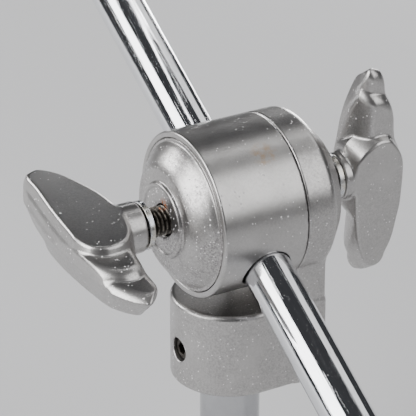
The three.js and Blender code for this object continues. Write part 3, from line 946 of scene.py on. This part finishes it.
def cross_pin():
    """Pin through the tilt stud and the drum's spigot."""
    middle = 0.7
    corners = [
        (-PIN_REACH, middle, 0),
        (-PIN_REACH, PIN_RADIUS, 0.25),
        (PIN_REACH, PIN_RADIUS, 0.25),
        (PIN_REACH, middle, 0.1),
        (-PIN_REACH, middle - 0.01, 0),
    ]
    place = Matrix.Translation((PIN_CENTRE, 0, 0)) @ UPRIGHT
    return turned("cross_pin", filleted(corners)[:-1], place, 48, True)


def cast_drum():
    """The drum, in a grid a margin larger than it."""
    hull = DRUM_RADIUS + CAST_MARGIN
    low = (DRUM_LEFT - CAST_MARGIN, -hull, -hull)
    high = (PIVOT_END + CAST_MARGIN, hull, hull)
    return cast("drum", drum_field, low, high, DRUM_CELL)


def cast_bracket():
    """The bracket, in a grid a margin larger than it."""
    hull = DRUM_RADIUS + CAST_MARGIN
    low = (-FOOT_HALF_WIDTH - CAST_MARGIN, -hull, -FOOT_DROP - CAST_MARGIN)
    high = (BOSS_RIGHT + CAST_MARGIN, hull, hull)
    return cast("tilter_bracket", bracket_field, low, high, BRACKET_CELL)


def build_object():
    """Makes every piece with its material, hides the CAD node that it replaces and hangs it on its
    body.
    """
    nickel_bracket = satin_nickel("satin_nickel_bracket", 0.5)
    nickel_drum = satin_nickel("satin_nickel_drum", 0.22, stain=((2.6, -12.3, 18.1), 4.5))
    nickel_cap = satin_nickel("satin_nickel_cap", 1.0, rust=((-20.2, -1.2, 4.6), 2.6))
    nickel_wing = satin_nickel("satin_nickel_wing", 0.35)
    chrome_rod = mirror_chrome("mirror_chrome_rod", (-PITCH, 0, -math.pi / 2))
    # The tube is the rod's chrome painted darker (fourth argument 0.6): painted shade, so that it
    # stands out from the pale floor.
    chrome_tube = mirror_chrome("mirror_chrome_tube", (0, math.pi / 2, 0), 0.6, 0.6)
    oxide_stud = black_oxide("black_oxide_stud", (3.45, 3.95), ((-20.6, -1, 4.2), 1.4))
    oxide_plain = black_oxide("black_oxide_plain")
    zinc = zinc_steel("zinc_steel")
    brass = turned_brass("turned_brass")
    nylon = moulded("natural_nylon", (0.8, 0.77, 0.68), (0.66, 0.61, 0.5), 0.5)
    black_nylon = moulded("black_nylon", (0.02, 0.02, 0.022), (0.035, 0.033, 0.034), 0.48)
    fibre = moulded("vulcanised_fibre", (0.25, 0.08, 0.05), (0.12, 0.035, 0.025), 0.7, flecked=True)

    rod_wing_place = (
        Matrix.Translation((LEFT_HUB, 0, 0)) @ Matrix.Rotation(ROD_WING_TURN, 4, "X")
        @ Matrix.Rotation(math.pi, 4, "Z")
    )
    tilt_wing_place = Matrix.Translation((RIGHT_HUB, 0, 0)) @ Matrix.Rotation(TILT_WING_TURN, 4, "X")
    drum = cast_drum()
    bracket = cast_bracket()
    # object, material, body, CAD node, material slot
    rows = [
        (lower_tube(), chrome_tube, "bracket", "stand_tube", "mirror_chrome"),
        (bracket, nickel_bracket, "bracket", "bracket", "satin_nickel"),
        (set_screw(), oxide_plain, "bracket", "set_screw", "black_oxide"),
        (fibre_ring(), fibre, "bracket", "friction_washer", "fibre"),
        (drum, nickel_drum, "drum", "clamp_drum", "satin_nickel"),
        (drum_cap(), nickel_cap, "drum", "drum_cap", "satin_nickel"),
        (tilt_screw(), oxide_plain, "drum", "tilt_stud", "black_oxide"),
        (cross_pin(), zinc, "drum", "tilt_stud_pin", "zinc_steel"),
        (rod_tube(), chrome_rod, "rod", "boom_rod", "mirror_chrome"),
        (boom_rod_spigot(), zinc, "rod", "boom_rod_spigot", "zinc_steel"),
        (boom_rod_cap(), black_nylon, "rod", "boom_rod_cap", "black_nylon"),
        (brass_pad(), brass, "pad", "rod_pad", "brass"),
        (pad_liner(), nylon, "pad", "rod_pad_liner", "nylon"),
        (clamp_screw(), oxide_stud, "rod_screw", "rod_stud", "black_oxide"),
        (flat_washer("clamp_washer", LEFT_HUB + 0.6, NARROW_WASHER_RADIUS), zinc, "rod_screw",
         "rod_stud_washer", "zinc_steel"),
        (wing_piece("clamp_wing", ROD_WING, rod_wing_place), nickel_wing, "rod_screw", "rod_wing",
         "satin_nickel"),
        (flat_washer("flat_washer", BOSS_RIGHT + GAP, WIDE_WASHER_RADIUS), zinc, "tilt_washers",
         "tilt_washer", "zinc_steel"),
        (spring_washer(), zinc, "tilt_washers", "tilt_spring_washer", "zinc_steel"),
        (flat_washer("nut_washer", RIGHT_HUB - GAP - WASHER_THICKNESS, NARROW_WASHER_RADIUS), zinc,
         "tilt_nut", "tilt_wing_washer", "zinc_steel"),
        (wing_piece("nut_wing", TILT_WING, tilt_wing_place), nickel_wing, "tilt_nut", "tilt_wing",
         "satin_nickel"),
    ]
    for obj, material, body, node, slot in rows:
        finish_piece(obj, material, body, node)


# ---- stage -----------------------------------------------------------------------------------
def build_floor():
    """A plain pale floor just under the tube's end."""
    half = 3.0
    corners = [(-half, -half, 0), (half, -half, 0), (half, half, 0), (-half, half, 0)]
    mesh = bpy.data.meshes.new("floor")
    mesh.from_pydata(corners, [], [(0, 1, 2, 3)])
    floor = bpy.data.objects.new("floor", mesh)
    floor.location.z = -0.0005
    bpy.context.scene.collection.objects.link(floor)
    paint = bpy.data.materials.new("floor_paint")
    paint.use_nodes = True
    shader = paint.node_tree.nodes["Principled BSDF"]
    shader.inputs["Base Color"].default_value = (0.62, 0.62, 0.63, 1)
    shader.inputs["Roughness"].default_value = 0.9
    mesh.materials.append(paint)


def area_light(name, location, target, width, height, power):
    """A white softbox that faces the target."""
    data = bpy.data.lights.new(name, "AREA")
    data.shape = "RECTANGLE"
    data.size, data.size_y = width, height
    data.energy = power
    light = bpy.data.objects.new(name, data)
    light.location = location
    light.rotation_euler = (Vector(target) - Vector(location)).to_track_quat("-Z", "Y").to_euler()
    bpy.context.scene.collection.objects.link(light)


def build_lights():
    """A dim world and softboxes at a metre or so round the drum, for soft streaks on the metal."""
    world = bpy.data.worlds.new("studio")
    world.use_nodes = True
    world.node_tree.nodes["Background"].inputs["Color"].default_value = (0.5, 0.51, 0.55, 1)
    world.node_tree.nodes["Background"].inputs["Strength"].default_value = 0.1
    bpy.context.scene.world = world
    centre = Vector((0, 0, AXIS_HEIGHT * MM))
    for name, direction, width, height, power in (
        ("left_key", (-0.86, 0.0, 0.5), 0.85, 0.85, 15),
        ("front_fill", (0.45, -0.69, 0.57), 0.9, 0.85, 5.5),
        ("right_top", (0.68, 0.1, 0.72), 0.5, 0.5, 1.0),
        ("overhead_strip", (0.2, 0.05, 0.97), 0.03, 0.8, 0.5),
        ("back_rim", (0.72, 0.68, 0.15), 0.4, 0.3, 5),
        ("back_left", (-0.5, 0.72, 0.38), 0.4, 0.3, 4),
    ):
        area_light(name, centre + Vector(direction), centre, width, height, power)


def build_camera():
    """A long lens from the left front, 26 degrees up. Lengths are in millimetres."""
    right = Vector((0.8655, -0.5009, 0.0))
    up = Vector((0.2189, 0.3783, 0.8995))
    back = Vector((-0.4505, -0.7785, 0.4371))
    aim = Vector((0, 0, AXIS_HEIGHT)) - 5.79 * right - 1.31 * up
    distance = 667.4
    data = bpy.data.cameras.new("camera")
    data.lens = 224.4
    data.sensor_width = 36
    camera = bpy.data.objects.new("camera", data)
    facing = Matrix((right, up, back)).transposed().to_4x4()
    camera.matrix_world = Matrix.Translation((aim + distance * back) * MM) @ facing
    bpy.context.scene.collection.objects.link(camera)
    bpy.context.scene.camera = camera


build_camera()
build_lights()
build_floor()
build_object()
